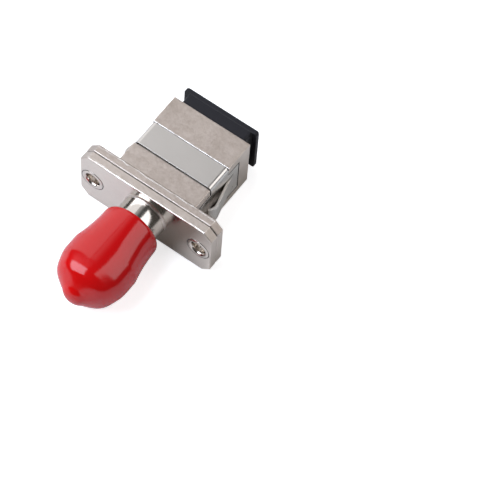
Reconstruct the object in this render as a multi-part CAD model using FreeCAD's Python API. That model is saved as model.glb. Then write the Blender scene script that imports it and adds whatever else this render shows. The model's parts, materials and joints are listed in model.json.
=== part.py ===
"""Hybrid fibre adapter: a square SC socket on one side of a panel flange and a round ST barrel on the other.

The origin lies on the optical axis, in the plane of the flange face that meets the panel. +Z is up, +X runs along
the flange and +Y runs out of the SC socket, so the ST barrel points along -Y. All sizes are in millimetres.
"""
import FreeCAD, Part
import math
import os

from FreeCAD import Vector

X_AXIS = Vector(1, 0, 0)
Y_AXIS = Vector(0, 1, 0)
Z_AXIS = Vector(0, 0, 1)
ORIGIN = Vector(0, 0, 0)

# Flange: two plates back to back, one on each casting
hole_pitch = 18.0
hole_to_end = 2.1
flange_height = 9.8
flange_corner = 1.3
front_plate = 1.41
rear_plate = 1.34
casting_edge = 0.15
parting_chamfer = 0.12

# Square SC socket
body_width = 12.9
body_height = 9.3
body_length = 12.6
body_edge = 0.15
socket_width = 9.1
socket_height = 7.5
socket_corner = 0.4
mouth_chamfer = 0.25
key_width = 3.4
key_length = 5.0

# Round ST barrel with its bayonet lugs
barrel_diameter = 6.8
barrel_length = 13.15
barrel_bore = 5.0
barrel_root = 0.15
barrel_chamfer = 0.3
lug_diameter = 1.8
lug_span = 8.3
lug_setback = 3.3
lug_chamfer = 0.25
st_key_width = 2.2
st_key_length = 4.6

# Split sleeve that lines up the two ferrules
mating_depth = 13.7
sleeve_outer = 3.2
sleeve_bore = 2.5
sleeve_length = 11.4
sleeve_slit = 0.5
sleeve_clearance = 0.05
sleeve_play = 0.1
lip_thickness = 0.4
lip_bore = 2.9
lip_lead = 0.25

# Moulded latch insert, clamped between the two castings
insert_base_width = 10.4
insert_base_height = 8.0
insert_clearance = 0.05
tube_wall = 0.65
hook_reach = 7.4
hook_gap = 6.4
hook_thickness = 0.8
hook_height = 3.4
hook_barb = 0.5
hook_barb_length = 1.3

# Folded spring clip and the groove and pockets that hold it
clip_sheet = 0.35
clip_seat = 0.02
clip_bend = 0.65
groove_start = 3.3
groove_width = 4.35
groove_gap = 0.28
groove_far_gap = 0.06
pocket_start = 1.0
pocket_length = 9.15
pocket_half_height = 3.05
pocket_gap = 0.15
tongue_root = 9.0
tongue_height = 3.25
tongue_slit = 0.18
tongue_lift = 14.0
tongue_root_radius = 2.0
tongue_nose_radius = 1.5
tongue_nose_turn = 55.0
panel_gap = 2.1

# Hollow rivets that join the flange plates
eyelet_bore = 2.2
eyelet_wall = 0.22
eyelet_head = 3.6
eyelet_flare = 0.45
eyelet_clearance = 0.05
eyelet_proud = 0.15
eyelet_sunk = 0.02

# Dust plug in the SC socket
plug_fit = 0.05
plug_depth = 4.4
plug_wall = 0.8
plug_neck_width = 10.7
plug_neck_height = 8.3
plug_neck_length = 1.92
plug_neck_corner = 0.4
plug_head_width = 12.35
plug_head_height = 8.4
plug_head_thickness = 0.8
plug_head_corner = 0.4
plug_head_chamfer = 0.2

# Dipped vinyl cap stretched over the ST barrel
cap_standoff = 2.75
cap_fit = 0.04
cap_wall = 0.95
cap_rim_round = 0.4
cap_rim_flare = 0.2
cap_rise_power = 2.0
cap_relax = 2.5
cap_inner_dome = 1.6
cap_drip_length = 0.63

# Outline of the cap's end: distance beyond the barrel's end, share of the cap's full radius
cap_end_outline = (
    (-1.3, 1.0),
    (-0.3, 0.98),
    (0.5, 0.964),
    (1.1, 0.916),
    (1.5, 0.845),
    (1.9, 0.734),
    (2.5, 0.541),
    (3.0, 0.365),
)

# Sizes and planes that the pieces share
flange_length = hole_pitch + 2 * hole_to_end
flange_parting = -rear_plate
flange_front = -rear_plate - front_plate
barrel_front = flange_front - barrel_length
lug_plane = barrel_front + lug_setback
mating_plane = body_length - mating_depth
sleeve_front = mating_plane - sleeve_length / 2
sleeve_rear = mating_plane + sleeve_length / 2
sleeve_seat = sleeve_outer / 2 + sleeve_clearance
clip_depth = clip_sheet + clip_seat
cap_rim = flange_front - cap_standoff
cap_relax_end = barrel_front - cap_relax
cap_end_planes = [barrel_front - beyond for beyond, share in cap_end_outline]
cap_tip = cap_end_planes[-1] - cap_drip_length


def box(x0, x1, y0, y1, z0, z1):
    return Part.makeBox(x1 - x0, y1 - y0, z1 - z0, Vector(x0, y0, z0))


def rod(radius, y0, y1, x=0.0):
    """A round bar along the optical axis."""
    return Part.makeCylinder(radius, y1 - y0, Vector(x, y0, 0), Y_AXIS)


def prism(points, y0, y1):
    """Extrudes an outline of (x, z) points along the optical axis."""
    corners = [Vector(x, y0, z) for x, z in points]
    face = Part.Face(Part.makePolygon(corners + corners[:1]))
    return face.extrude(Vector(0, y1 - y0, 0))


def rounded_bar(width, height, y0, y1, radius):
    """A rectangular bar along the optical axis with its long edges rounded."""
    bar = box(-width / 2, width / 2, y0, y1, -height / 2, height / 2)
    long_edges = [edge for edge in bar.Edges if abs(edge.tangentAt(edge.FirstParameter).y) > 0.9]
    return bar.makeFillet(radius, long_edges)


def turned(outline, x=0.0):
    """Revolves an outline of (radius, y) points about an axis along Y."""
    corners = [Vector(x + radius, y, 0) for radius, y in outline]
    face = Part.Face(Part.makePolygon(corners + corners[:1]))
    return face.revolve(Vector(x, 0, 0), Y_AXIS, 360)


def edges_in_plane(shape, y):
    """The edges that lie wholly in one plane across the optical axis."""
    limit = 1e-4
    return [e for e in shape.Edges if abs(e.BoundBox.YMin - y) < limit and abs(e.BoundBox.YMax - y) < limit]


def flange_plate(y0, y1):
    """One plate of the flange: a rectangle with its four corners cut at 45 degrees and its edges eased."""
    half_length = flange_length / 2
    half_height = flange_height / 2
    cut = flange_corner
    quarter = [(half_length, half_height - cut), (half_length - cut, half_height)]
    outline = quarter
    outline = outline + [(-x, z) for x, z in reversed(quarter)]
    outline = outline + [(x, -z) for x, z in reversed(outline)]
    return prism(outline, y0, y1)


def eyelet_hole(face_side, y_face):
    """The hole for one flared rivet end: a straight hole with a countersink at the outer face."""
    straight = eyelet_bore / 2 + eyelet_wall + eyelet_clearance
    mouth = eyelet_head / 2 + eyelet_clearance
    depth = eyelet_flare + eyelet_clearance
    inner = flange_parting
    holes = []
    for x in (-hole_pitch / 2, hole_pitch / 2):
        outline = [(0, inner), (straight, inner), (straight, y_face - face_side * depth), (mouth, y_face), (0, y_face)]
        holes.append(turned(outline, x))
    return holes[0].fuse(holes[1])


def st_front_housing():
    """Front casting: flange plate and ST barrel in one piece."""
    plate = flange_plate(flange_front, flange_parting)
    plate = plate.makeFillet(casting_edge, edges_in_plane(plate, flange_front))
    plate = plate.makeChamfer(parting_chamfer, edges_in_plane(plate, flange_parting))
    barrel = rod(barrel_diameter / 2, barrel_front, flange_front)
    barrel = barrel.makeChamfer(barrel_chamfer, edges_in_plane(barrel, barrel_front))
    casting = plate.fuse(barrel)
    root = [e for e in edges_in_plane(casting, flange_front) if abs(e.Length - math.pi * barrel_diameter) < 0.01]
    casting = casting.makeChamfer(barrel_root, root)

    lug = Part.makeCylinder(lug_diameter / 2, lug_span, Vector(-lug_span / 2, lug_plane, 0), X_AXIS)
    lug = lug.makeChamfer(lug_chamfer, [e for e in lug.Edges if e.BoundBox.XLength < 1e-6])
    casting = casting.fuse(lug)

    lip_front = sleeve_front - sleeve_play - lip_thickness
    lead = lip_bore / 2 + lip_lead
    bore = [
        (0, flange_parting),
        (sleeve_seat, flange_parting),
        (sleeve_seat, lip_front + lip_thickness),
        (lip_bore / 2, lip_front + lip_thickness),
        (lip_bore / 2, lip_front + lip_lead),
        (lead, lip_front),
        (barrel_bore / 2, lip_front),
        (barrel_bore / 2, barrel_front + barrel_chamfer),
        (barrel_bore / 2 + barrel_chamfer, barrel_front),
        (0, barrel_front),
    ]
    casting = casting.cut(turned(bore))
    key_slot = box(
        -st_key_width / 2, st_key_width / 2,
        barrel_front, barrel_front + st_key_length,
        -barrel_diameter, 0,
    )
    casting = casting.cut(key_slot)
    casting = casting.cut(eyelet_hole(-1, flange_front))
    return casting.removeSplitter()


def clip_room(gap, depth):
    """The space that the folded clip takes round the socket, with a gap all round its edges."""
    top = body_height / 2
    wide = body_width / 2 + 1
    plates = box(
        -wide, wide,
        pocket_start + gap, pocket_start + pocket_length - gap,
        -pocket_half_height + gap, pocket_half_height - gap,
    )
    start_gap = groove_gap if gap else 0
    end_gap = groove_far_gap if gap else 0
    band = box(-wide, wide, groove_start + start_gap, groove_start + groove_width - end_gap, 0, top + 1)
    core_radius = max(clip_bend - depth, casting_edge)
    core = rounded_bar(body_width - 2 * depth, body_height - 2 * depth, 0, body_length, core_radius)
    return plates.fuse(band).cut(core)


def sc_rear_housing():
    """Rear casting: flange plate and square SC socket in one piece."""
    plate = flange_plate(flange_parting, 0)
    plate = plate.makeFillet(casting_edge, edges_in_plane(plate, 0))
    plate = plate.makeChamfer(parting_chamfer, edges_in_plane(plate, flange_parting))
    body = rounded_bar(body_width, body_height, -rear_plate / 2, body_length, body_edge)
    casting = plate.fuse(body)

    casting = casting.cut(clip_room(0, clip_depth))
    socket = rounded_bar(socket_width, socket_height, flange_parting, body_length, socket_corner)
    casting = casting.cut(socket)
    seat = rounded_bar(insert_base_width, insert_base_height, flange_parting, 0, socket_corner)
    casting = casting.cut(seat)
    mouth = rounded_bar(socket_width + 2 * mouth_chamfer, socket_height + 2 * mouth_chamfer,
                        body_length - mouth_chamfer, body_length, socket_corner)
    casting = casting.cut(mouth)
    key_slot = box(
        -key_width / 2, key_width / 2,
        body_length - key_length, body_length,
        -body_height / 2, 0,
    )
    casting = casting.cut(key_slot)
    casting = casting.cut(eyelet_hole(1, 0))
    return casting.removeSplitter()


def tongue_outline():
    """Outer line of the sprung tongue, as (lift, y) from its root to its turned-in free end."""
    lift = math.radians(tongue_lift)
    turn = math.radians(tongue_nose_turn)
    tongue_end = panel_gap
    arcs = tongue_root_radius * math.sin(lift) + tongue_nose_radius * (math.sin(lift) + math.sin(turn))
    straight = (tongue_root - tongue_end - arcs) / math.cos(lift)

    def root_point(angle):
        return Vector(tongue_root_radius * (1 - math.cos(angle)), tongue_root - tongue_root_radius * math.sin(angle), 0)

    bend_end = root_point(lift)
    nose_start = bend_end + Vector(straight * math.sin(lift), -straight * math.cos(lift), 0)
    nose_centre = nose_start - Vector(tongue_nose_radius * math.cos(lift), tongue_nose_radius * math.sin(lift), 0)

    def nose_point(angle):
        return nose_centre + Vector(tongue_nose_radius * math.cos(angle), -tongue_nose_radius * math.sin(angle), 0)

    root_bend = Part.Arc(root_point(0), root_point(lift / 2), bend_end)
    nose = Part.Arc(nose_start, nose_point((turn - lift) / 2), nose_point(turn))
    return Part.Wire([root_bend.toShape(), Part.LineSegment(bend_end, nose_start).toShape(), nose.toShape()])


def spring_clip():
    """Spring clip folded from one strip: a band over the top, a plate down each side and a sprung tongue in each."""
    outer = rounded_bar(body_width, body_height, 0, body_length, clip_bend)
    clip = outer.common(clip_room(pocket_gap, clip_sheet))
    half = body_width / 2
    window_half = tongue_height / 2 + tongue_slit
    window = box(-half - 1, half + 1, 0, tongue_root, -window_half, window_half)
    clip = clip.cut(window)
    strip = tongue_outline().makeOffset2D(clip_sheet, 0, True, True)
    tongue = strip.extrude(Vector(0, 0, tongue_height))
    tongue.translate(Vector(half, 0, -tongue_height / 2))
    mirrored = tongue.mirror(ORIGIN, X_AXIS)
    return clip.fuse([tongue, mirrored]).removeSplitter()


def sc_latch_insert():
    """Moulded insert: a base clamped between the castings, a sleeve tube and two latch hooks with inward barbs."""
    gap = insert_clearance
    base = rounded_bar(insert_base_width - 2 * gap, insert_base_height - 2 * gap, flange_parting, 0, socket_corner)
    tube_end = sleeve_rear + sleeve_play + lip_thickness
    tube = rod(sleeve_seat + tube_wall, 0, tube_end)
    insert = base.fuse(tube)
    inner = hook_gap / 2
    for side in (-1, 1):
        barb_start = hook_reach - hook_barb_length
        profile = [
            (inner, 0),
            (inner + hook_thickness, 0),
            (inner + hook_thickness, hook_reach),
            (inner, hook_reach),
            (inner - hook_barb, barb_start + hook_barb / 2),
            (inner - hook_barb, barb_start),
            (inner, barb_start),
        ]
        corners = [Vector(side * x, y, -hook_height / 2) for x, y in profile]
        face = Part.Face(Part.makePolygon(corners + corners[:1]))
        insert = insert.fuse(face.extrude(Vector(0, 0, hook_height)))
    bore = [
        (0, flange_parting),
        (sleeve_seat, flange_parting),
        (sleeve_seat, sleeve_rear + sleeve_play),
        (lip_bore / 2, sleeve_rear + sleeve_play),
        (lip_bore / 2, tube_end - lip_lead),
        (lip_bore / 2 + lip_lead, tube_end),
        (0, tube_end),
    ]
    return insert.cut(turned(bore)).removeSplitter()


def alignment_sleeve():
    """Ceramic sleeve, split along one side so that it grips the ferrules."""
    sleeve = rod(sleeve_outer / 2, sleeve_front, sleeve_rear)
    sleeve = sleeve.cut(rod(sleeve_bore / 2, sleeve_front, sleeve_rear))
    slit = box(-sleeve_slit / 2, sleeve_slit / 2, sleeve_front, sleeve_rear, 0, sleeve_outer)
    return sleeve.cut(slit)


def flange_eyelet(x):
    """Hollow rivet: flared flush at the panel face and rolled to a low bead at the front face."""
    inner = eyelet_bore / 2
    outer = inner + eyelet_wall
    head = eyelet_head / 2
    front = flange_front - eyelet_proud
    rear = -eyelet_sunk
    outline = [
        (inner, rear - eyelet_flare),
        (head - eyelet_wall, rear),
        (head, rear),
        (outer, rear - eyelet_flare),
        (outer, flange_front + eyelet_flare),
        (head, flange_front),
        (head - eyelet_wall / 2, front),
        (head - 3 * eyelet_wall / 2, front),
        (inner, front + eyelet_flare),
    ]
    return turned(outline, x)


def sc_dust_plug():
    """Dust plug: a hollow box that fits the socket, a stop collar at its mouth and a grip plate."""
    seat = body_length + plug_fit
    width = socket_width - 2 * plug_fit
    height = socket_height - 2 * plug_fit
    nose = rounded_bar(width, height, seat - plug_depth, seat, socket_corner)
    neck_end = seat + plug_neck_length
    neck = rounded_bar(plug_neck_width, plug_neck_height, seat, neck_end, plug_neck_corner)
    head_end = neck_end + plug_head_thickness
    head = rounded_bar(plug_head_width, plug_head_height, neck_end, head_end, plug_head_corner)
    head = head.makeChamfer(plug_head_chamfer, edges_in_plane(head, head_end))
    plug = nose.fuse([neck, head])
    hollow_end = neck_end + plug_head_thickness - plug_wall
    hollow = rounded_bar(width - 2 * plug_wall, min(height, plug_neck_height) - 2 * plug_wall,
                         seat - plug_depth, hollow_end, socket_corner)
    return plug.cut(hollow).removeSplitter()


def dome_radius(y, start, end, radius):
    """Radius of a dome at one station: full before its start plane and closed at its end plane."""
    along = min(1.0, max(0.0, (start - y) / (start - end)))
    return radius * math.sqrt(1 - along ** 2)


def lug_stretch(y):
    """Share of the lugs' height that lifts the cap's sides at one station, from none to all of it."""
    half_length = lug_diameter / 2 + cap_fit
    rise_end = lug_plane + half_length
    relax_start = lug_plane - half_length
    rise = min(1.0, max(0.0, (cap_rim - y) / (cap_rim - rise_end))) ** cap_rise_power
    relax = min(1.0, max(0.0, (relax_start - y) / (relax_start - cap_relax_end)))
    return rise * (1 + math.cos(math.pi * relax)) / 2


def cap_ring(y, high, inset=0.0):
    """One oval section of the cap: as high as the round cap and widened by the lugs."""
    round_half = barrel_diameter / 2 + cap_fit
    lug_flat = lug_diameter / 2 - lug_chamfer
    lug_half = (lug_span / 2 + cap_fit) / math.sqrt(1 - (lug_flat / round_half) ** 2)
    wide = high + (lug_half - round_half) * lug_stretch(y)
    ring = Part.Wire(Part.Ellipse(ORIGIN, wide - inset, high - inset).toShape())
    ring.rotate(ORIGIN, X_AXIS, 90)
    ring.translate(Vector(0, y, 0))
    return ring


def spaced(first, last, count):
    """Evenly spaced stations after the first plane, up to and including the last."""
    return [first + (last - first) * (i + 1) / count for i in range(count)]


def closing(first, last, count, share):
    """Stations that crowd together towards the end of a dome, up to a share of its length."""
    return [first + (last - first) * share * math.sin(math.pi / 2 * (i + 1) / count) for i in range(count)]


def cap_half_height(y):
    """Half the cap's height at one station, from the outline of its end."""
    beyond = barrel_front - y
    before = [point for point in cap_end_outline if point[0] <= beyond] or cap_end_outline[:1]
    after = [point for point in cap_end_outline if point[0] > beyond] or cap_end_outline[-1:]
    near, near_share = before[-1]
    far, far_share = after[0]
    along = (beyond - near) / (far - near) if far > near else 0
    return (barrel_diameter / 2 + cap_fit + cap_wall) * (near_share + (far_share - near_share) * along)


def cap_outer():
    """Outside of the cap: a rounded rim, the stretch over the lugs and a blunt end that closes in a drip."""
    rings = []
    for angle in (0, math.pi / 4):
        y = cap_rim - cap_rim_round * (1 - math.cos(angle))
        rings.append(cap_ring(y, cap_half_height(y), cap_rim_round * (1 - math.sin(angle))))
    half_length = lug_diameter / 2 + cap_fit
    stations = [cap_rim - cap_rim_round]
    stations += spaced(cap_rim - cap_rim_round, lug_plane + half_length, 4)
    stations += [lug_plane - half_length]
    stations += [y for y in cap_end_planes if y > cap_relax_end] + [cap_relax_end]
    rings += [cap_ring(y, cap_half_height(y)) for y in stations]
    stretched = Part.makeLoft(rings, True, True)
    drip = cap_half_height(cap_end_planes[-1])
    outline = [(0, cap_relax_end), (cap_half_height(cap_relax_end), cap_relax_end)]
    outline += [(cap_half_height(y), y) for y in cap_end_planes if y < cap_relax_end]
    closed = closing(cap_end_planes[-1], cap_tip, 4, 0.99)
    outline += [(dome_radius(y, cap_end_planes[-1], cap_tip, drip), y) for y in closed]
    return stretched.fuse(turned(outline + [(0, closed[-1])]))


def cap_inner():
    """Inside of the cap: flared at the rim, lifted over the lugs and closed by a dome beyond the barrel's end."""
    round_half = barrel_diameter / 2 + cap_fit
    half_length = lug_diameter / 2 + cap_fit
    tube_end = barrel_front - cap_fit
    last = tube_end - cap_inner_dome
    stations = [cap_rim - cap_rim_flare]
    stations += spaced(cap_rim - cap_rim_flare, lug_plane + half_length, 4)
    stations += [lug_plane - half_length]
    stations += spaced(lug_plane - half_length, tube_end, 3)
    stations += closing(tube_end, last, 2, 0.9)
    rings = [cap_ring(cap_rim, round_half + cap_rim_flare)]
    rings += [cap_ring(y, dome_radius(y, tube_end, last, round_half)) for y in stations]
    return Part.makeLoft(rings, True, True)


def st_dust_cap():
    """Dipped vinyl cap: it follows the round barrel, bulges over the two lugs and ends in a dome with a drip nub."""
    return cap_outer().cut(cap_inner())


def write(name, shape):
    shape.exportStep("parts/" + name + ".step")
    print(name, "volume", round(shape.Volume, 2), "valid", shape.isValid(), "solids", len(shape.Solids))


os.makedirs("parts", exist_ok=True)
write("st_front_housing", st_front_housing())
write("sc_rear_housing", sc_rear_housing())
write("spring_clip", spring_clip())
write("sc_latch_insert", sc_latch_insert())
write("alignment_sleeve", alignment_sleeve())
for side, offset in (("left", -hole_pitch / 2), ("right", hole_pitch / 2)):
    write(side + "_eyelet", flange_eyelet(offset))
write("sc_dust_plug", sc_dust_plug())
write("st_dust_cap", st_dust_cap())
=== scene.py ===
# %% [markdown]
# # A small fibre adapter on white
#
# The object is a panel-mount fibre adapter: two plated zinc castings riveted back to back, a folded
# spring clip, a black dust plug in the square socket and a red vinyl cap on the round barrel. Its exact
# solids come from the CAD frame, so this lesson only has to dress them: light, camera, finishes and the
# few pieces that are soft or rolled.

import json
import math

import bmesh
import bpy
from mathutils import Matrix, Vector, noise


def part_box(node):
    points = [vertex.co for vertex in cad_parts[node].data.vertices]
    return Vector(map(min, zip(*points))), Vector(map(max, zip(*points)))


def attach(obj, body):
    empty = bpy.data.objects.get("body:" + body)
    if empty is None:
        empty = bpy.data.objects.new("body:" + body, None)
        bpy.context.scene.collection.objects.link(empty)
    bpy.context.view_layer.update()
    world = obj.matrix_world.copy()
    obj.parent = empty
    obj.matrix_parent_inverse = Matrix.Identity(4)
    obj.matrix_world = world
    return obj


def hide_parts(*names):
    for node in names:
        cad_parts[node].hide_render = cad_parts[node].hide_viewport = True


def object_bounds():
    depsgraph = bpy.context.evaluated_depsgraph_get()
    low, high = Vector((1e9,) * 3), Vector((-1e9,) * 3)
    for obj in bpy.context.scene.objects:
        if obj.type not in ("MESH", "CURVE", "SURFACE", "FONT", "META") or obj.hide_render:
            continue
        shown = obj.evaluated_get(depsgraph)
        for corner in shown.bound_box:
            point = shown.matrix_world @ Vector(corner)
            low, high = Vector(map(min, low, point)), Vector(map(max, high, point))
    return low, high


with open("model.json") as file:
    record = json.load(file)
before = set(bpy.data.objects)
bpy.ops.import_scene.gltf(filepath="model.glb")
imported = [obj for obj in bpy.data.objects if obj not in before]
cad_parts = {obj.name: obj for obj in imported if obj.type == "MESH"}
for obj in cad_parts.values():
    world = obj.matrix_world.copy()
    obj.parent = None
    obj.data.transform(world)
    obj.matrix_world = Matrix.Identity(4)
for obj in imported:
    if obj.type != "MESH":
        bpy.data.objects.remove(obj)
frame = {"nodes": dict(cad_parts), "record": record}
cad_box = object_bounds()
MM = 0.001
print("CAD box in mm:", [[round(v / MM, 2) for v in corner] for corner in cad_box])

# %% [markdown]
# ## The camera
#
# The photograph looks down on the adapter from the front right, with a long lens. A camera can be aimed
# with a constraint, but here its three axes were worked out from the adapter's own corners, so they are
# written straight into its matrix. The small roll of a hand-held or tilted camera comes with them.

# %% Camera
camera_place = Vector((0.0964480, -0.1365106, 0.2817359))
camera_right = Vector((0.8119182, 0.5816911, 0.0492360))
camera_up = Vector((-0.5265648, 0.6933332, 0.4919538))
camera_back = Vector((0.2520282, -0.4253523, 0.8692280))
sensor_width = 36.0
focal_length = 171.635
nearest_view = 0.01

lens_data = bpy.data.cameras.new("product_camera")
lens_data.sensor_width = sensor_width
lens_data.lens = focal_length
lens_data.clip_start = nearest_view
camera = bpy.data.objects.new("product_camera", lens_data)
bpy.context.scene.collection.objects.link(camera)
axes = Matrix((camera_right, camera_up, camera_back)).transposed()
camera.matrix_world = Matrix.Translation(camera_place) @ axes.to_4x4()
bpy.context.scene.camera = camera
bpy.context.scene.view_settings.view_transform = "Standard"
print("camera to adapter: %.0f mm" % (camera_place.length / MM))

# %% [markdown]
# ## Node helpers
#
# Every finish below is a Principled shader with a few texture nodes in front of it. Small helpers keep
# the recipes readable: one makes the material, one adds a node and sets its sockets, one joins two
# sockets, and the rest do sums with varying values.

# %% Node helpers
def new_finish(name):
    material = bpy.data.materials.new(name)
    material.use_nodes = True
    tree = material.node_tree
    return material, tree, tree.nodes["Principled BSDF"]


def set_sockets(node, **values):
    for key, value in values.items():
        node.inputs[key.replace("_", " ")].default_value = value


def add_node(tree, kind, settings=None, **sockets):
    node = tree.nodes.new(kind)
    for key, value in (settings or {}).items():
        setattr(node, key, value)
    set_sockets(node, **sockets)
    return node


def join(tree, source, target):
    tree.links.new(source, target)


def arithmetic(tree, operation, first, second=0):
    node = add_node(tree, "ShaderNodeMath", {"operation": operation})
    for socket, value in zip(node.inputs, (first, second)):
        if isinstance(value, (int, float)):
            socket.default_value = value
        else:
            join(tree, value, socket)
    return node.outputs[0]


def times(tree, first, *others):
    for other in others:
        first = arithmetic(tree, "MULTIPLY", first, other)
    return first


def largest(tree, first, *others):
    for other in others:
        first = arithmetic(tree, "MAXIMUM", first, other)
    return first


def between(tree, value, low, high, out_low, out_high):
    """Maps a varying value from one range to another, and keeps it inside."""
    node = add_node(tree, "ShaderNodeMapRange", From_Min=low, From_Max=high)
    set_sockets(node, To_Min=out_low, To_Max=out_high)
    join(tree, value, node.inputs["Value"])
    return node.outputs["Result"]


# %% [markdown]
# ## Floor
#
# The adapter lies on a white sweep. The floor is a real diffuse white sheet, so it takes the adapter's
# shadow, and it glows for camera rays so that the open parts come out as clean white. Mirror and glass
# rays see only a little of that glow, so the plated faces keep their contrast. A plain white backdrop
# would be simpler, but it takes no shadow.

# %% Floor
floor_reach = 2.0
floor_drop = 0.01
floor_mesh = bpy.data.meshes.new("white_floor")
corners = [(-floor_reach, -floor_reach, 0), (floor_reach, -floor_reach, 0),
           (floor_reach, floor_reach, 0), (-floor_reach, floor_reach, 0)]
floor_mesh.from_pydata(corners, [], [(0, 1, 2, 3)])
floor = bpy.data.objects.new("white_floor", floor_mesh)
floor.location.z = cad_box[0][2] - floor_drop * MM
bpy.context.scene.collection.objects.link(floor)
print("floor at %.2f mm" % (floor.location.z / MM))


# %% Floor finish
def white_paper():
    white = 0.7
    camera_glow, mirror_glow = 0.72, 0.05
    material, tree, shader = new_finish("white_paper")
    set_sockets(shader, Base_Color=(white, white, white, 1), Roughness=0.9, Specular_IOR_Level=0.1)
    set_sockets(shader, Emission_Color=(1, 1, 1, 1))
    path = tree.nodes.new("ShaderNodeLightPath")
    mirrored = largest(tree, path.outputs["Is Glossy Ray"], path.outputs["Is Transmission Ray"])
    direct = times(tree, path.outputs["Is Camera Ray"], camera_glow)
    glow = arithmetic(tree, "ADD", direct, times(tree, mirrored, mirror_glow))
    join(tree, glow, shader.inputs["Emission Strength"])
    return material


floor_mesh.materials.append(white_paper())
print("floor wears", floor_mesh.materials[0].name)

# %% [markdown]
# ## Soft boxes and walls
#
# Three soft boxes light the adapter: one along the right side, a dim one behind on the left and a
# brighter, cooler one at the front left. Their edges are what the glossy cap shows as its long bands and
# its one square highlight. The back left box has no hard upper edge, so a row of narrow strips, each
# dimmer than the last, carries its light on overhead. A studio picture wrapped round the world could do
# all this at once, but rectangles are easier to move one at a time.

# %% Soft boxes
daylight = (1.0, 0.985, 1.0)
cool_light = (0.92, 0.98, 1.12)
box_distance = 0.6
back_from, back_to = 0.17, 0.90


def soft_box(name, angle, distance, half_height, y_from, y_to, radiance, tint):
    """A rectangular lamp along the adapter's axis; angle turns round that axis, from the right side up."""
    data = bpy.data.lights.new(name, "AREA")
    data.shape = "RECTANGLE"
    data.size = y_to - y_from
    data.size_y = 2 * half_height
    data.energy = radiance * math.pi * data.size * data.size_y
    data.color = tint
    lamp = bpy.data.objects.new(name, data)
    a = math.radians(angle)
    outward = Vector((math.cos(a), 0, math.sin(a)))
    along = Vector((0, 1, 0))
    axes = Matrix((along, outward.cross(along), outward)).transposed()
    centre = outward * distance + Vector((0, (y_from + y_to) / 2, 0))
    lamp.matrix_world = Matrix.Translation(centre) @ axes.to_4x4()
    bpy.context.scene.collection.objects.link(lamp)


soft_box("box_right", angle=46, distance=box_distance, half_height=0.29,
         y_from=0.03, y_to=0.70, radiance=1.8, tint=daylight)
soft_box("box_back_left", angle=147, distance=box_distance, half_height=0.42,
         y_from=back_from, y_to=back_to, radiance=1.15, tint=daylight)
soft_box("box_front_left", angle=127, distance=box_distance, half_height=0.34,
         y_from=-0.58, y_to=0.09, radiance=4.4, tint=cool_light)

# %% Fading edge of the back left box
strip_count = 6
first_angle, angle_step = 108, 3.4
strip_distance = 0.66
fade_power = 1.5
for step in range(strip_count):
    angle = first_angle - angle_step * step
    fade = (1 - (step + 1) / (strip_count + 1)) ** fade_power
    soft_box("box_back_left_edge_%d" % step, angle=angle, distance=strip_distance, half_height=0.02,
             y_from=back_from, y_to=back_to, radiance=fade, tint=daylight)

# %% Studio walls
wall_tint = (1.0, 0.98, 0.96, 1)
wall_strength = 0.08
backdrop = bpy.data.worlds.new("studio_walls")
backdrop.use_nodes = True
set_sockets(backdrop.node_tree.nodes["Background"], Color=wall_tint, Strength=wall_strength)
bpy.context.scene.world = backdrop
print("walls glow at", wall_strength)

# %% [markdown]
# ## Grain, tints and bump
#
# A plated casting, a rolled sheet and a moulding all have a grain, at different sizes. A picture texture
# could paint it, but noise in the object's own space needs no unwrapping and has the right size from
# every side. The same few nodes turn it into colour, into roughness and into small bumps.

# %% Grain
blob_at_scale_one = 0.5
noise_low, noise_high = 0.3, 0.7


def place_and_normal(tree):
    node = tree.nodes.new("ShaderNodeTexCoord")
    return node.outputs["Object"], node.outputs["Normal"]


def grain(tree, place, size_mm, detail=2.0, roughness=0.5):
    """Noise whose blobs are about size_mm across."""
    scale = blob_at_scale_one / (size_mm * MM)
    node = add_node(tree, "ShaderNodeTexNoise", Scale=scale, Detail=detail, Roughness=roughness)
    join(tree, place, node.inputs["Vector"])
    return node.outputs["Fac"]


def spread(tree, value, out_low, out_high):
    """Spreads noise, which mostly stays near its middle, over a whole range."""
    return between(tree, value, noise_low, noise_high, out_low, out_high)


def patches(tree, place, size_mm, detail, roughness, cut, result):
    """Noise cut off below and above, and spread over a result from low to high."""
    return between(tree, grain(tree, place, size_mm, detail, roughness), *cut, *result)


# %% Tints, edges and bump
bevel_samples = 6


def two_tints(tree, value, first, second):
    """Colour that runs from one tint to another with a varying value."""
    node = add_node(tree, "ShaderNodeValToRGB")
    node.color_ramp.elements[0].color = (*first, 1)
    node.color_ramp.elements[1].color = (*second, 1)
    join(tree, value, node.inputs["Fac"])
    return node.outputs["Color"]


def soft_edges(tree, radius_mm):
    """Normal that rounds every sharp edge by a small radius."""
    node = add_node(tree, "ShaderNodeBevel", {"samples": bevel_samples}, Radius=radius_mm * MM)
    return node.outputs["Normal"]


def bump(tree, height, depth_mm, normal=None):
    node = add_node(tree, "ShaderNodeBump", Strength=1.0, Distance=depth_mm * MM)
    join(tree, height, node.inputs["Height"])
    if normal is not None:
        join(tree, normal, node.inputs["Normal"])
    return node.outputs["Normal"]


# %% [markdown]
# ## Where a finish changes
#
# A real casting isn't the same all over: a turned barrel is smoother, an edge catches light and a gap
# falls into shade, and here that light and shade are painted into the colour. Each of these is a share
# from none to all, worked out from the surface's own place, its direction or the room around it. Masks
# painted by hand would need an unwrapped picture, while these have real sizes in millimetres.

# %% Shares and lines
def axis_parts(tree, vector):
    node = tree.nodes.new("ShaderNodeSeparateXYZ")
    join(tree, vector, node.inputs[0])
    return node.outputs["X"], node.outputs["Y"], node.outputs["Z"]


def size_of(tree, value):
    return arithmetic(tree, "ABSOLUTE", value)


def distance_from(tree, value, plane_mm):
    return size_of(tree, arithmetic(tree, "SUBTRACT", value, plane_mm * MM))


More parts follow.
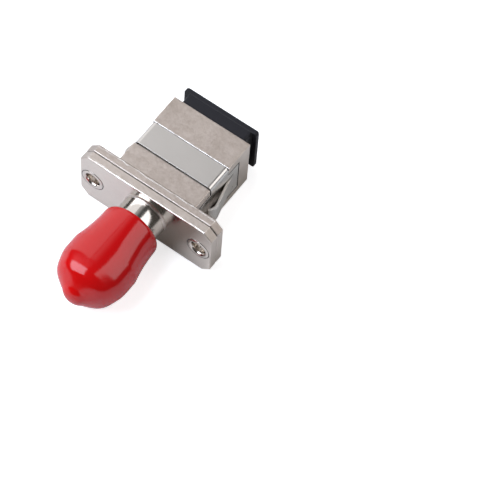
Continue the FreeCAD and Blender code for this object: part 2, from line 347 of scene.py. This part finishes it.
def rising(tree, value, none_mm, all_mm):
    """A share that goes from none at one plane to all at another."""
    return between(tree, value, none_mm * MM, all_mm * MM, 0, 1)


def thin_line(tree, distance, core_mm, fade_mm):
    """All on a line, none beside it."""
    return rising(tree, distance, fade_mm, core_mm)


def shaded(tree, share, lowest):
    """A factor that is one where the share is none, and lowest where it is all."""
    return between(tree, share, 0, 1, 1.0, lowest)


# %% Edges and enclosed places
flat_lean, edge_lean = 0.985, 0.80
occlusion_samples = 32
gap_reach = 0.45
enclosed = 0.15
gap_shade = 0.12


def edge_share(tree, rounded):
    """How far the rounded normal leans away from the face: none on a flat, most on an edge."""
    flat = tree.nodes.new("ShaderNodeNewGeometry").outputs["True Normal"]
    lean = add_node(tree, "ShaderNodeVectorMath", {"operation": "DOT_PRODUCT"})
    join(tree, rounded, lean.inputs[0])
    join(tree, flat, lean.inputs[1])
    return between(tree, lean.outputs["Value"], flat_lean, edge_lean, 0, 1)


def open_air(tree, open_from):
    """One on open faces, falling to a dark shade deep in a gap."""
    node = add_node(tree, "ShaderNodeAmbientOcclusion", {"samples": occlusion_samples})
    set_sockets(node, Distance=gap_reach * MM)
    return between(tree, node.outputs["AO"], enclosed, open_from, gap_shade, 1.0)


# %% Mixing colours
mix_share, mix_first, mix_second, mix_colour = 0, 6, 7, 2


def darkened(tree, colour, share):
    node = add_node(tree, "ShaderNodeMix", {"data_type": "RGBA", "blend_type": "MULTIPLY"})
    node.inputs[mix_share].default_value = 1.0
    join(tree, colour, node.inputs[mix_first])
    join(tree, share, node.inputs[mix_second])
    return node.outputs[mix_colour]


def mixed(tree, share, first, second):
    """Goes from the first colour to the second, which may also be one plain tint."""
    node = add_node(tree, "ShaderNodeMix", {"data_type": "RGBA"})
    join(tree, share, node.inputs[mix_share])
    join(tree, first, node.inputs[mix_first])
    if isinstance(second, tuple):
        node.inputs[mix_second].default_value = (*second, 1)
    else:
        join(tree, second, node.inputs[mix_second])
    return node.outputs[mix_colour]


# %% [markdown]
# ## Plated castings: painted edge highlights
#
# The two housings are die-cast zinc under satin nickel, and the die leaves thin flash on the flange's top
# edges and the groove's lip. The light that the edges and the flash catch is painted into the colour as
# pale highlight lines, over a glossier plate. Real flash is far thinner than the plates, so it is drawn,
# not built: pale painted highlights that wander away from the edge and break off.

# %% Places on the castings
def box_mm(node_name):
    low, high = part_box(node_name)
    return low / MM, high / MM


front_low, front_high = box_mm("st_front_housing")
clip_low, clip_high = box_mm("spring_clip")
parting_plane = front_high.y
barrel_end = front_low.y
flange_top = front_high.z
body_top = clip_high.z
print("parting plane %.2f, barrel end %.2f, flange top %.2f, body top %.2f mm"
      % (parting_plane, barrel_end, flange_top, body_top))

# %% Painted edge highlights and flash
on_flange = (flange_top - 0.14, flange_top - 0.10)
on_body = (body_top - 0.15, body_top - 0.05)
groove_lip = 7.72
# Both flash lines wander between two distances in front of the panel face
rear_flash = (0.06 * MM, 0.44 * MM)
front_flash = (2.70 * MM, 2.46 * MM)
front_strength = 0.9
flash_core, flash_fade = 0.05, 0.10


# Painted highlights: pale lines on the rounded edges, on the flash and on the groove's lip.
def painted_edge_highlights(tree, place, rounded):
    _, along_y, up_z = axis_parts(tree, place)
    ragged = patches(tree, place, size_mm=0.5, detail=3.0, roughness=0.7,
                     cut=(0.38, 0.55), result=(0.35, 1.0))
    broken = patches(tree, place, size_mm=0.8, detail=3.0, roughness=0.6,
                     cut=(0.42, 0.52), result=(0.2, 1.0))

    rear_wander = patches(tree, place, size_mm=1.2, detail=5.0, roughness=0.65,
                          cut=(0.32, 0.68), result=rear_flash)
    front_wander = patches(tree, place, size_mm=2.2, detail=4.0, roughness=0.6,
                           cut=(0.46, 0.62), result=front_flash)
    rear, front = [
        thin_line(tree, size_of(tree, arithmetic(tree, "ADD", along_y, wander)), flash_core, flash_fade)
        for wander in (rear_wander, front_wander)
    ]
    flash = largest(tree, rear, times(tree, front, front_strength))
    flash = times(tree, flash, broken, rising(tree, up_z, *on_flange))
    lip = thin_line(tree, distance_from(tree, along_y, groove_lip), flash_core, flash_fade)
    lip = times(tree, lip, ragged, rising(tree, up_z, *on_body))
    return largest(tree, times(tree, edge_share(tree, rounded), ragged), flash, lip)


# %% [markdown]
# ## Plated castings: painted shade in the gaps
#
# Shade is painted into the colour where pieces meet: at the seam of the two flange plates, round the
# rivets and round the clip's pocket. The gaps are in the CAD solids, but they are about a pixel wide or
# less. Ambient occlusion paints shade into what is enclosed, and thin lines of painted shade at the gaps'
# own places do the rest. The seam is shut tight in places, so its line fades there.

# %% Seam between the plates
seam_plane = parting_plane - 0.06
seam_width = (0.05, 0.08)
seam_dark = 0.08
shut_end, shut_end_share = (3.8, 5.2), 0.6
shut_patches = (0, 0.75)


# Painted shade: a dark line along the seam, faded where the seam is shut.
def seam_shade(tree, place, across_x, along_y):
    line = thin_line(tree, distance_from(tree, along_y, seam_plane), *seam_width)
    shut = patches(tree, place, size_mm=3.0, detail=3.0, roughness=0.6,
                   cut=(0.46, 0.62), result=shut_patches)
    end = times(tree, rising(tree, across_x, *shut_end), shut_end_share)
    return largest(tree, shaded(tree, line, seam_dark), shut, end)


# %% Gap round the clip's pocket
pocket_top = 0.27 - clip_low.z
pocket_end = clip_high.y + 0.20
top_width, end_width = (0.10, 0.16), (0.05, 0.09)
before_end = (pocket_end, pocket_end - 0.05)
below_top = (pocket_top + 0.08, pocket_top - 0.02)
on_side, past_flange = (6.30, 6.35), (0.3, 0.5)
pocket_dark = 0.2


# Painted shade: dark lines along the top and the end of the clip's pocket.
def pocket_shade(tree, beside, along_y, above):
    top = thin_line(tree, distance_from(tree, above, pocket_top), *top_width)
    top = times(tree, top, rising(tree, along_y, *before_end))
    end = thin_line(tree, distance_from(tree, along_y, pocket_end), *end_width)
    end = times(tree, end, rising(tree, above, *below_top))
    on_socket = times(tree, rising(tree, beside, *on_side), rising(tree, along_y, *past_flange))
    return shaded(tree, times(tree, largest(tree, top, end), on_socket), pocket_dark)


# %% Gap round the rivets
screws = [mount["dims"] for mount in frame["record"]["mounts"] if mount["name"] == "panel_screws"][0]
hole_offset = screws["spacing_x_mm"] / 2
head_radius = 1.80
head_width = (0.05, 0.14)
head_dark = 0.3


# Painted shade: a dark ring where each rivet's rolled lip meets the plate.
def rivet_shade(tree, beside, up_z):
    from_hole = arithmetic(tree, "SUBTRACT", beside, hole_offset * MM)
    squares = arithmetic(tree, "ADD", times(tree, from_hole, from_hole), times(tree, up_z, up_z))
    from_axis = arithmetic(tree, "SQRT", squares)
    rim = thin_line(tree, distance_from(tree, from_axis, head_radius), *head_width)
    return shaded(tree, rim, head_dark)


def painted_gap_shade(tree, place):
    """All the painted shade on the castings, as one factor."""
    across_x, along_y, up_z = axis_parts(tree, place)
    beside, above = size_of(tree, across_x), size_of(tree, up_z)
    return times(
        tree,
        open_air(tree, open_from=0.75),
        seam_shade(tree, place, across_x, along_y),
        pocket_shade(tree, beside, along_y, above),
        rivet_shade(tree, beside, up_z),
    )


# %% [markdown]
# ## Plated castings: skin
#
# The cast skin leaves a fine grain in the plate. The turned barrel and the flange's front face come out
# smoother than the rest. The sides and the front face are painted paler, as painted light for the light
# they catch, and the front plate is a little paler too. The grain goes into the bump and the roughness,
# and a slow noise shifts the warm grey.

# %% Tint of the castings
skin_tints = (0.43, 0.368, 0.318), (0.58, 0.510, 0.454)
pale_and_lit_tints = (0.71, 0.645, 0.575), (0.78, 0.718, 0.645)
barrel_tints = (0.60, 0.568, 0.530), (0.66, 0.628, 0.590)
edge_highlight_tint = (0.95, 0.93, 0.91)
fine_share, cloudy_share = 0.55, 0.45


def cast_tint(tree, fine, cloudy, turned, pale, edge):
    """Warm grey cast skin, cooler on the barrel. The sides and the front face are painted paler as
    painted light, the front plate is a little paler, and the edges get painted highlights.
    """
    mottle = arithmetic(tree, "ADD", times(tree, fine, fine_share), times(tree, cloudy, cloudy_share))
    mottle = spread(tree, mottle, 0, 1)
    skin, pale_and_lit, barrel = [
        two_tints(tree, mottle, *tints) for tints in (skin_tints, pale_and_lit_tints, barrel_tints)
    ]
    plate = mixed(tree, turned, mixed(tree, pale, skin, pale_and_lit), barrel)
    return mixed(tree, edge, plate, edge_highlight_tint)


# %% Cast nickel
barrel_start = (-2.9, -3.1)
front_half = (seam_plane, seam_plane - 0.06)
# Faces turned to the side and to the front are picked by their direction; their paler tint is painted
# light.
faces_front, faces_side = (-0.7, -0.95), (0.8, 0.97)
front_share, side_share, half_share = 0.9, 0.35, 0.25
skin_roughness = (0.30, 0.46)
smooth_gloss, edge_gloss = 0.42, 0.55
grain_depth, smooth_grain = 0.02, 0.06
casting_edge = 0.13


def cast_nickel():
    material, tree, shader = new_finish("cast_nickel")
    place, facing = place_and_normal(tree)
    _, along_y, _ = axis_parts(tree, place)
    facing_x, facing_y, _ = axis_parts(tree, facing)
    turned = rising(tree, along_y, *barrel_start)
    front = between(tree, facing_y, *faces_front, 0, front_share)
    side = between(tree, size_of(tree, facing_x), *faces_side, 0, side_share)
    half = times(tree, rising(tree, along_y, *front_half), half_share)
    smooth = largest(tree, turned, front)
    # Painted light: the sides and the front face get the paler tint, and the front plate a little of it.
    pale = largest(tree, side, half, front)

    fine = grain(tree, place, size_mm=0.22, detail=4.0, roughness=0.62)
    cloudy = grain(tree, place, size_mm=1.6, detail=3.0, roughness=0.55)
    rounded = soft_edges(tree, casting_edge)
    edge = painted_edge_highlights(tree, place, rounded)
    gloss = times(tree, shaded(tree, smooth, smooth_gloss), shaded(tree, edge, edge_gloss))
    join(tree, times(tree, spread(tree, fine, *skin_roughness), gloss), shader.inputs["Roughness"])
    tint = cast_tint(tree, fine, cloudy, turned, pale, edge)
    join(tree, darkened(tree, tint, painted_gap_shade(tree, place)), shader.inputs["Base Color"])
    set_sockets(shader, Metallic=1.0)
    height = times(tree, fine, shaded(tree, smooth, smooth_grain))
    join(tree, bump(tree, height, grain_depth, rounded), shader.inputs["Normal"])
    return material


# %% Dress the castings
def dress(node_name, material):
    node = frame["nodes"][node_name]
    for entry in node.material_slots:
        entry.material = material
    print(node_name, "wears", material.name, "on", len(node.material_slots), "slot")


nickel = cast_nickel()
dress("st_front_housing", nickel)
dress("sc_rear_housing", nickel)

# %% [markdown]
# ## Spring clip
#
# The clip is bare rolled spring steel: smoother and cooler than the castings, with faint rolling marks
# along the strip. A brushed-metal picture could show them, but ordinary noise, drawn out along the strip,
# needs none. The marks stay very weak, because a strong change of gloss at that size turns into glitter.

# %% Spring steel
sheet_tints = (0.58, 0.558, 0.526), (0.63, 0.608, 0.576)
clip_edge_highlight = (0.88, 0.86, 0.84)
roll_stretch = (0.15, 1.0, 0.15)
steel_roughness = (0.275, 0.285)
mark_depth = 0.0002
sheet_edge = 0.06


def rolled_steel():
    material, tree, shader = new_finish("rolled_spring_steel")
    place, _ = place_and_normal(tree)
    stretch = add_node(tree, "ShaderNodeMapping", Scale=roll_stretch)
    join(tree, place, stretch.inputs["Vector"])
    marks = grain(tree, stretch.outputs["Vector"], size_mm=0.10, roughness=0.6)
    cloudy = grain(tree, place, size_mm=2.0)
    rounded = soft_edges(tree, sheet_edge)
    join(tree, spread(tree, marks, *steel_roughness), shader.inputs["Roughness"])
    # The edges are painted pale as highlights, and ambient occlusion paints shade into enclosed places.
    sheet = mixed(tree, edge_share(tree, rounded), two_tints(tree, cloudy, *sheet_tints), clip_edge_highlight)
    join(tree, darkened(tree, sheet, open_air(tree, open_from=0.7)), shader.inputs["Base Color"])
    set_sockets(shader, Metallic=1.0)
    join(tree, bump(tree, marks, mark_depth, rounded), shader.inputs["Normal"])
    return material


dress("spring_clip", rolled_steel())

# %% [markdown]
# ## Insert, sleeve and dust plug
#
# Behind the plug sit a pale moulded insert and a ceramic sleeve. They hardly show, but they are there
# when the plug and the cap come off. The plug is a plain black moulding with a matte, lightly textured
# skin, and its edges are painted a little lighter as a painted highlight. Its colour is nearly black, so
# what shows is the soft grey that the rough skin throws back where it faces a lamp.

# %% Mouldings and ceramic
def moulded(name, tints, roughness, grain_mm, depth_mm, edge_mm, edge_tint=None):
    material, tree, shader = new_finish(name)
    place, _ = place_and_normal(tree)
    fine = grain(tree, place, grain_mm, detail=3.0, roughness=0.55)
    cloudy = grain(tree, place, size_mm=1.5)
    rounded = soft_edges(tree, edge_mm)
    skin = two_tints(tree, cloudy, *tints)
    # The edge tint is a painted highlight on the rounded edges.
    if edge_tint:
        skin = mixed(tree, edge_share(tree, rounded), skin, edge_tint)
    join(tree, skin, shader.inputs["Base Color"])
    join(tree, spread(tree, fine, *roughness), shader.inputs["Roughness"])
    join(tree, bump(tree, fine, depth_mm, rounded), shader.inputs["Normal"])
    return material, shader


# %% Dress insert, sleeve and plug
insert_tints = (0.74, 0.74, 0.72), (0.82, 0.82, 0.80)
ceramic_tints = (0.84, 0.83, 0.79), (0.9, 0.89, 0.86)
black_tints = (0.010, 0.0096, 0.0122), (0.016, 0.0155, 0.0190)
edge_highlight_black = (0.040, 0.039, 0.036)

pale, _ = moulded("pale_moulding", insert_tints, roughness=(0.4, 0.5),
                  grain_mm=0.2, depth_mm=0.006, edge_mm=0.08)
ceramic, _ = moulded("white_ceramic", ceramic_tints, roughness=(0.12, 0.2),
                     grain_mm=0.1, depth_mm=0.001, edge_mm=0.03)
black, black_shader = moulded("matte_black_moulding", black_tints, roughness=(0.46, 0.58),
                              grain_mm=0.12, depth_mm=0.010, edge_mm=0.14, edge_tint=edge_highlight_black)
set_sockets(black_shader, Specular_IOR_Level=0.2)
dress("sc_latch_insert", pale)
dress("alignment_sleeve", ceramic)
dress("sc_dust_plug", black)

# %% [markdown]
# ## Surfaces over rings
#
# The rolled rivets and the dipped cap are both drawn as rows of points that follow each other. A
# subdivided cage could do it too, but with rows every point has a known place in millimetres. One helper
# lays quads from row to row. The rows either come back to the first one or are closed by a face at each
# end.

# %% Surface over rings
def surface_over(name, rings, comes_back):
    mesh = bpy.data.meshes.new(name)
    build = bmesh.new()
    rows = [[build.verts.new(spot * MM) for spot in ring] for ring in rings]
    following_rows = rows[1:] + rows[:1] if comes_back else rows[1:]
    for row, following in zip(rows, following_rows):
        for i in range(len(row)):
            j = (i + 1) % len(row)
            build.faces.new((row[i], row[j], following[j], following[i]))
    if not comes_back:
        build.faces.new(list(reversed(rows[0])))
        build.faces.new(rows[-1])
    bmesh.ops.recalc_face_normals(build, faces=build.faces)
    for face in build.faces:
        face.smooth = True
    build.to_mesh(mesh)
    build.free()
    piece = bpy.data.objects.new(name, mesh)
    bpy.context.scene.collection.objects.link(piece)
    return piece


def turns(count):
    """The directions of a full circle, as cosine and sine."""
    angles = [2 * math.pi * step / count for step in range(count)]
    return [(math.cos(angle), math.sin(angle)) for angle in angles]


# %% [markdown]
# ## Rolled rivets
#
# Each flange hole is lined with a hollow rivet whose front end was rolled over by a punch. The CAD solid
# keeps the rivet light with straight cones, so the rolled lip is turned here as a finer ring: its outline
# goes once round the hole's axis, with the lip as a real arc. Spinning an outline is the same work as a
# lathe's.

# %% Rivet outline
rivet_bore, rivet_shank = screws["hole_r_mm"], 1.32
flare_start = -0.50
rear_flare = [(1.56, -0.20), (1.78, -0.04), (1.72, -0.02), (1.56, -0.04), (1.30, -0.22)]
shank_start, roll_start = -2.32, -2.35
roll_width, roll_depth = 0.36, 0.53
lip_width, lip_crown, lip_drop = 0.17, 0.02, 0.07
lip_turn = 150
arc_steps = 8


def rivet_outline():
    """Bore, rolled front lip, shank and flush rear flare, as (radius, y) in mm."""
    points = [(rivet_bore, flare_start), (rivet_bore, roll_start)]
    for step in range(1, arc_steps + 1):
        a = math.radians(90 * step / arc_steps)
        points.append((rivet_bore + roll_width * (1 - math.cos(a)), roll_start - roll_depth * math.sin(a)))
    crest, crest_plane = rivet_bore + roll_width, roll_start - roll_depth
    for step in range(1, arc_steps + 1):
        a = math.radians(lip_turn * step / arc_steps)
        fall = 1 - math.cos(a)
        points.append((crest + lip_width * fall, crest_plane - lip_crown * math.sin(a) + lip_drop * fall))
    return points + [(rivet_shank, shank_start), (rivet_shank, flare_start)] + rear_flare


# %% Rivets
rivet_tints = (0.62, 0.56, 0.50), (0.74, 0.68, 0.62)
rivet_roughness = (0.12, 0.24)
rivet_grain_depth = 0.008
rivet_sides = 96


def bright_nickel():
    material, tree, shader = new_finish("bright_rivet_nickel")
    place, _ = place_and_normal(tree)
    fine = grain(tree, place, size_mm=0.2)
    join(tree, spread(tree, fine, *rivet_roughness), shader.inputs["Roughness"])
    join(tree, two_tints(tree, fine, *rivet_tints), shader.inputs["Base Color"])
    set_sockets(shader, Metallic=1.0)
    join(tree, bump(tree, fine, rivet_grain_depth), shader.inputs["Normal"])
    return material


rivet_finish = bright_nickel()
outline = rivet_outline()
for side, centre_x in (("left", -hole_offset), ("right", hole_offset)):
    rings = [[Vector((centre_x + r * c, y, r * s)) for r, y in outline] for c, s in turns(rivet_sides)]
    rivet = surface_over("rolled_rivet_" + side, rings, comes_back=True)
    rivet.data.materials.append(rivet_finish)
    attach(rivet, "adapter")
    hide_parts(side + "_eyelet")
    print(rivet.name, len(rivet.data.polygons), "faces")

# %% [markdown]
# ## Red vinyl cap
#
# The cap is dipped: a heated pin goes into liquid vinyl and the skin that sets on it is stripped off, so
# it has a soft rolled rim, an even wall and a small drip at its tip. On the barrel it is stretched over
# the two bayonet lugs. The form is worked out ring by ring: a blunt outline, closed by the drip, sets the
# height, and the lugs push the sides out and let them relax again. A very slow ripple keeps the long
# highlights from looking machined.

# %% Cap measures
cap_low, cap_high = box_mm("st_dust_cap")
cap_rim, tip = cap_high.y, cap_low.y
wall = 0.95
outer_full = cap_high.z
inner_full = outer_full - wall
lug_push = cap_high.x - cap_high.z
lug_plane, lug_half = barrel_end + 3.3, 0.94
relax_end = barrel_end - 2.5


def share_along(y, start, end):
    """How far a station lies on the way from one plane to another, from none to all."""
    return min(1.0, max(0.0, (start - y) / (start - end)))


def side_push(y):
    """How far the lugs push the cap's sides out at one station, in mm."""
    rise = share_along(y, cap_rim, lug_plane + lug_half) ** 2
    relax = share_along(y, lug_plane - lug_half, relax_end)
    return lug_push * rise * (1 + math.cos(math.pi * relax)) / 2


# %% Cap outlines
# Distance beyond the barrel's end, share of the cap's full radius
end_outline = [(-1.3, 1.0), (-0.3, 0.98), (0.5, 0.964), (1.1, 0.916), (1.5, 0.845),
               (1.9, 0.734), (2.5, 0.541), (3.0, 0.365)]
corner_reach, corner_samples = 0.3, 6
drip_start = barrel_end - end_outline[-1][0]
drip_end = tip - 0.005
drip_roundness = 0.65
inner_start, inner_end = barrel_end - 0.04, barrel_end - 1.64


def outline_share(y):
    """Share of the full radius at one station, straight between the outline's points."""
    beyond = barrel_end - y
    if beyond <= end_outline[0][0]:
        return 1.0
    for (near, near_share), (far, far_share) in zip(end_outline, end_outline[1:]):
        if beyond <= far:
            return near_share + (far_share - near_share) * (beyond - near) / (far - near)
    return end_outline[-1][1]


def outer_half(y):
    """Half the cap's height: the outline with its corners averaged away, closed by the drip at the tip."""
    samples = range(-corner_samples, corner_samples + 1)
    shares = [outline_share(y + corner_reach * i / corner_samples) for i in samples]
    used = share_along(y, drip_start, drip_end)
    round_end = drip_roundness * math.sqrt(1 - used ** 2) + (1 - drip_roundness) * math.sqrt(1 - used)
    return outer_full * sum(shares) / len(shares) * round_end


def inner_half(y):
    """Half the height inside: a plain tube closed by a dome."""
    return inner_full * math.sqrt(1 - share_along(y, inner_start, inner_end) ** 2)


# %% Cap sections
outside_start, outside_gap = 0.80, 0.11
inside_start, inside_gap = 0.45, 0.35
rim_steps = 16
rim_outside, rim_inside = 0.78, 0.40
drip_rows, dome_rows = 16, 10
inner_last = inner_end + 0.01


def stations(start, gap, last):
    """Even stations from just behind the rim to a last plane."""
    found = []
    while cap_rim - start - gap * len(found) > last:
        found.append(cap_rim - start - gap * len(found))
    return found


def eased(first, last, count):
    """Stations that crowd together towards the last one, as the end of a dome needs."""
    return [first + (last - first) * math.sin(math.pi / 2 * (i + 1) / count) for i in range(count)]


def cap_rows():
    """Sections from the tip along the outside, over the rim and down the inside, as (y, half height)."""
    outside = stations(outside_start, outside_gap, drip_start) + eased(drip_start, tip, drip_rows)
    rows = [(y, outer_half(y)) for y in reversed(outside)]
    for step in range(rim_steps + 1):
        a = math.pi * step / rim_steps
        reach = rim_outside if step <= rim_steps / 2 else rim_inside
        rows.append((cap_rim - reach * (1 - math.sin(a)), outer_full - wall / 2 + wall / 2 * math.cos(a)))
    inside = stations(inside_start, inside_gap, barrel_end) + eased(inner_start, inner_last, dome_rows)
    return rows + [(y, inner_half(y)) for y in inside]


# %% Cap surface
cap_sides = 144
ripple_height, ripple_pitch = 0.02, 0.33
ripple_fade = 3


def cap_ring(y, high):
    """One oval section: as high as the round cap and widened by the lugs, with a slow ripple."""
    wide = high + side_push(y)
    ring = []
    for c, s in turns(cap_sides):
        spot = Vector((wide * c, y, high * s))
        ripple = ripple_height * noise.noise(spot * ripple_pitch) * min(1.0, high / ripple_fade)
        ring.append(spot + Vector((c, 0, s)) * ripple)
    return ring


cap = surface_over("red_vinyl_cap", [cap_ring(y, high) for y, high in cap_rows()], comes_back=False)
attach(cap, "cap")
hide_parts("st_dust_cap")
print("cap:", len(cap.data.polygons), "faces")

# %% [markdown]
# ## Cap finish
#
# Vinyl has colour all through it and a wet-looking skin, so the shader is a plain dielectric with a deep
# red body and a low roughness. The tip is painted a brighter red, as painted light for the stronger light
# that falls on it from the front. Dust and handling make the gloss a little uneven, which a slow noise in
# the roughness gives.

# %% Red vinyl
side_tints = (0.455, 0.0016, 0.0026), (0.505, 0.0022, 0.0036)
lit_tip_tints = (0.60, 0.0014, 0.0016), (0.65, 0.0018, 0.0022)
lit_tip_reach = (barrel_end + 1.4, barrel_end - 2.4)
vinyl_roughness = (0.10, 0.16)
skin_depth = 0.0012
vinyl_ior = 1.54


def red_vinyl():
    material, tree, shader = new_finish("glossy_red_vinyl")
    place, _ = place_and_normal(tree)
    _, along_y, _ = axis_parts(tree, place)
    cloudy = grain(tree, place, size_mm=3.0, detail=3.0)
    fine = grain(tree, place, size_mm=0.15)
    # Painted light: the red grows brighter towards the tip.
    lit_tip = rising(tree, along_y, *lit_tip_reach)
    side_red, lit_tip_red = [two_tints(tree, cloudy, *tints) for tints in (side_tints, lit_tip_tints)]
    join(tree, mixed(tree, lit_tip, side_red, lit_tip_red), shader.inputs["Base Color"])
    join(tree, spread(tree, cloudy, *vinyl_roughness), shader.inputs["Roughness"])
    join(tree, bump(tree, fine, skin_depth), shader.inputs["Normal"])
    set_sockets(shader, IOR=vinyl_ior)
    return material


cap.data.materials.append(red_vinyl())
print(cap.name, "wears", cap.data.materials[0].name)
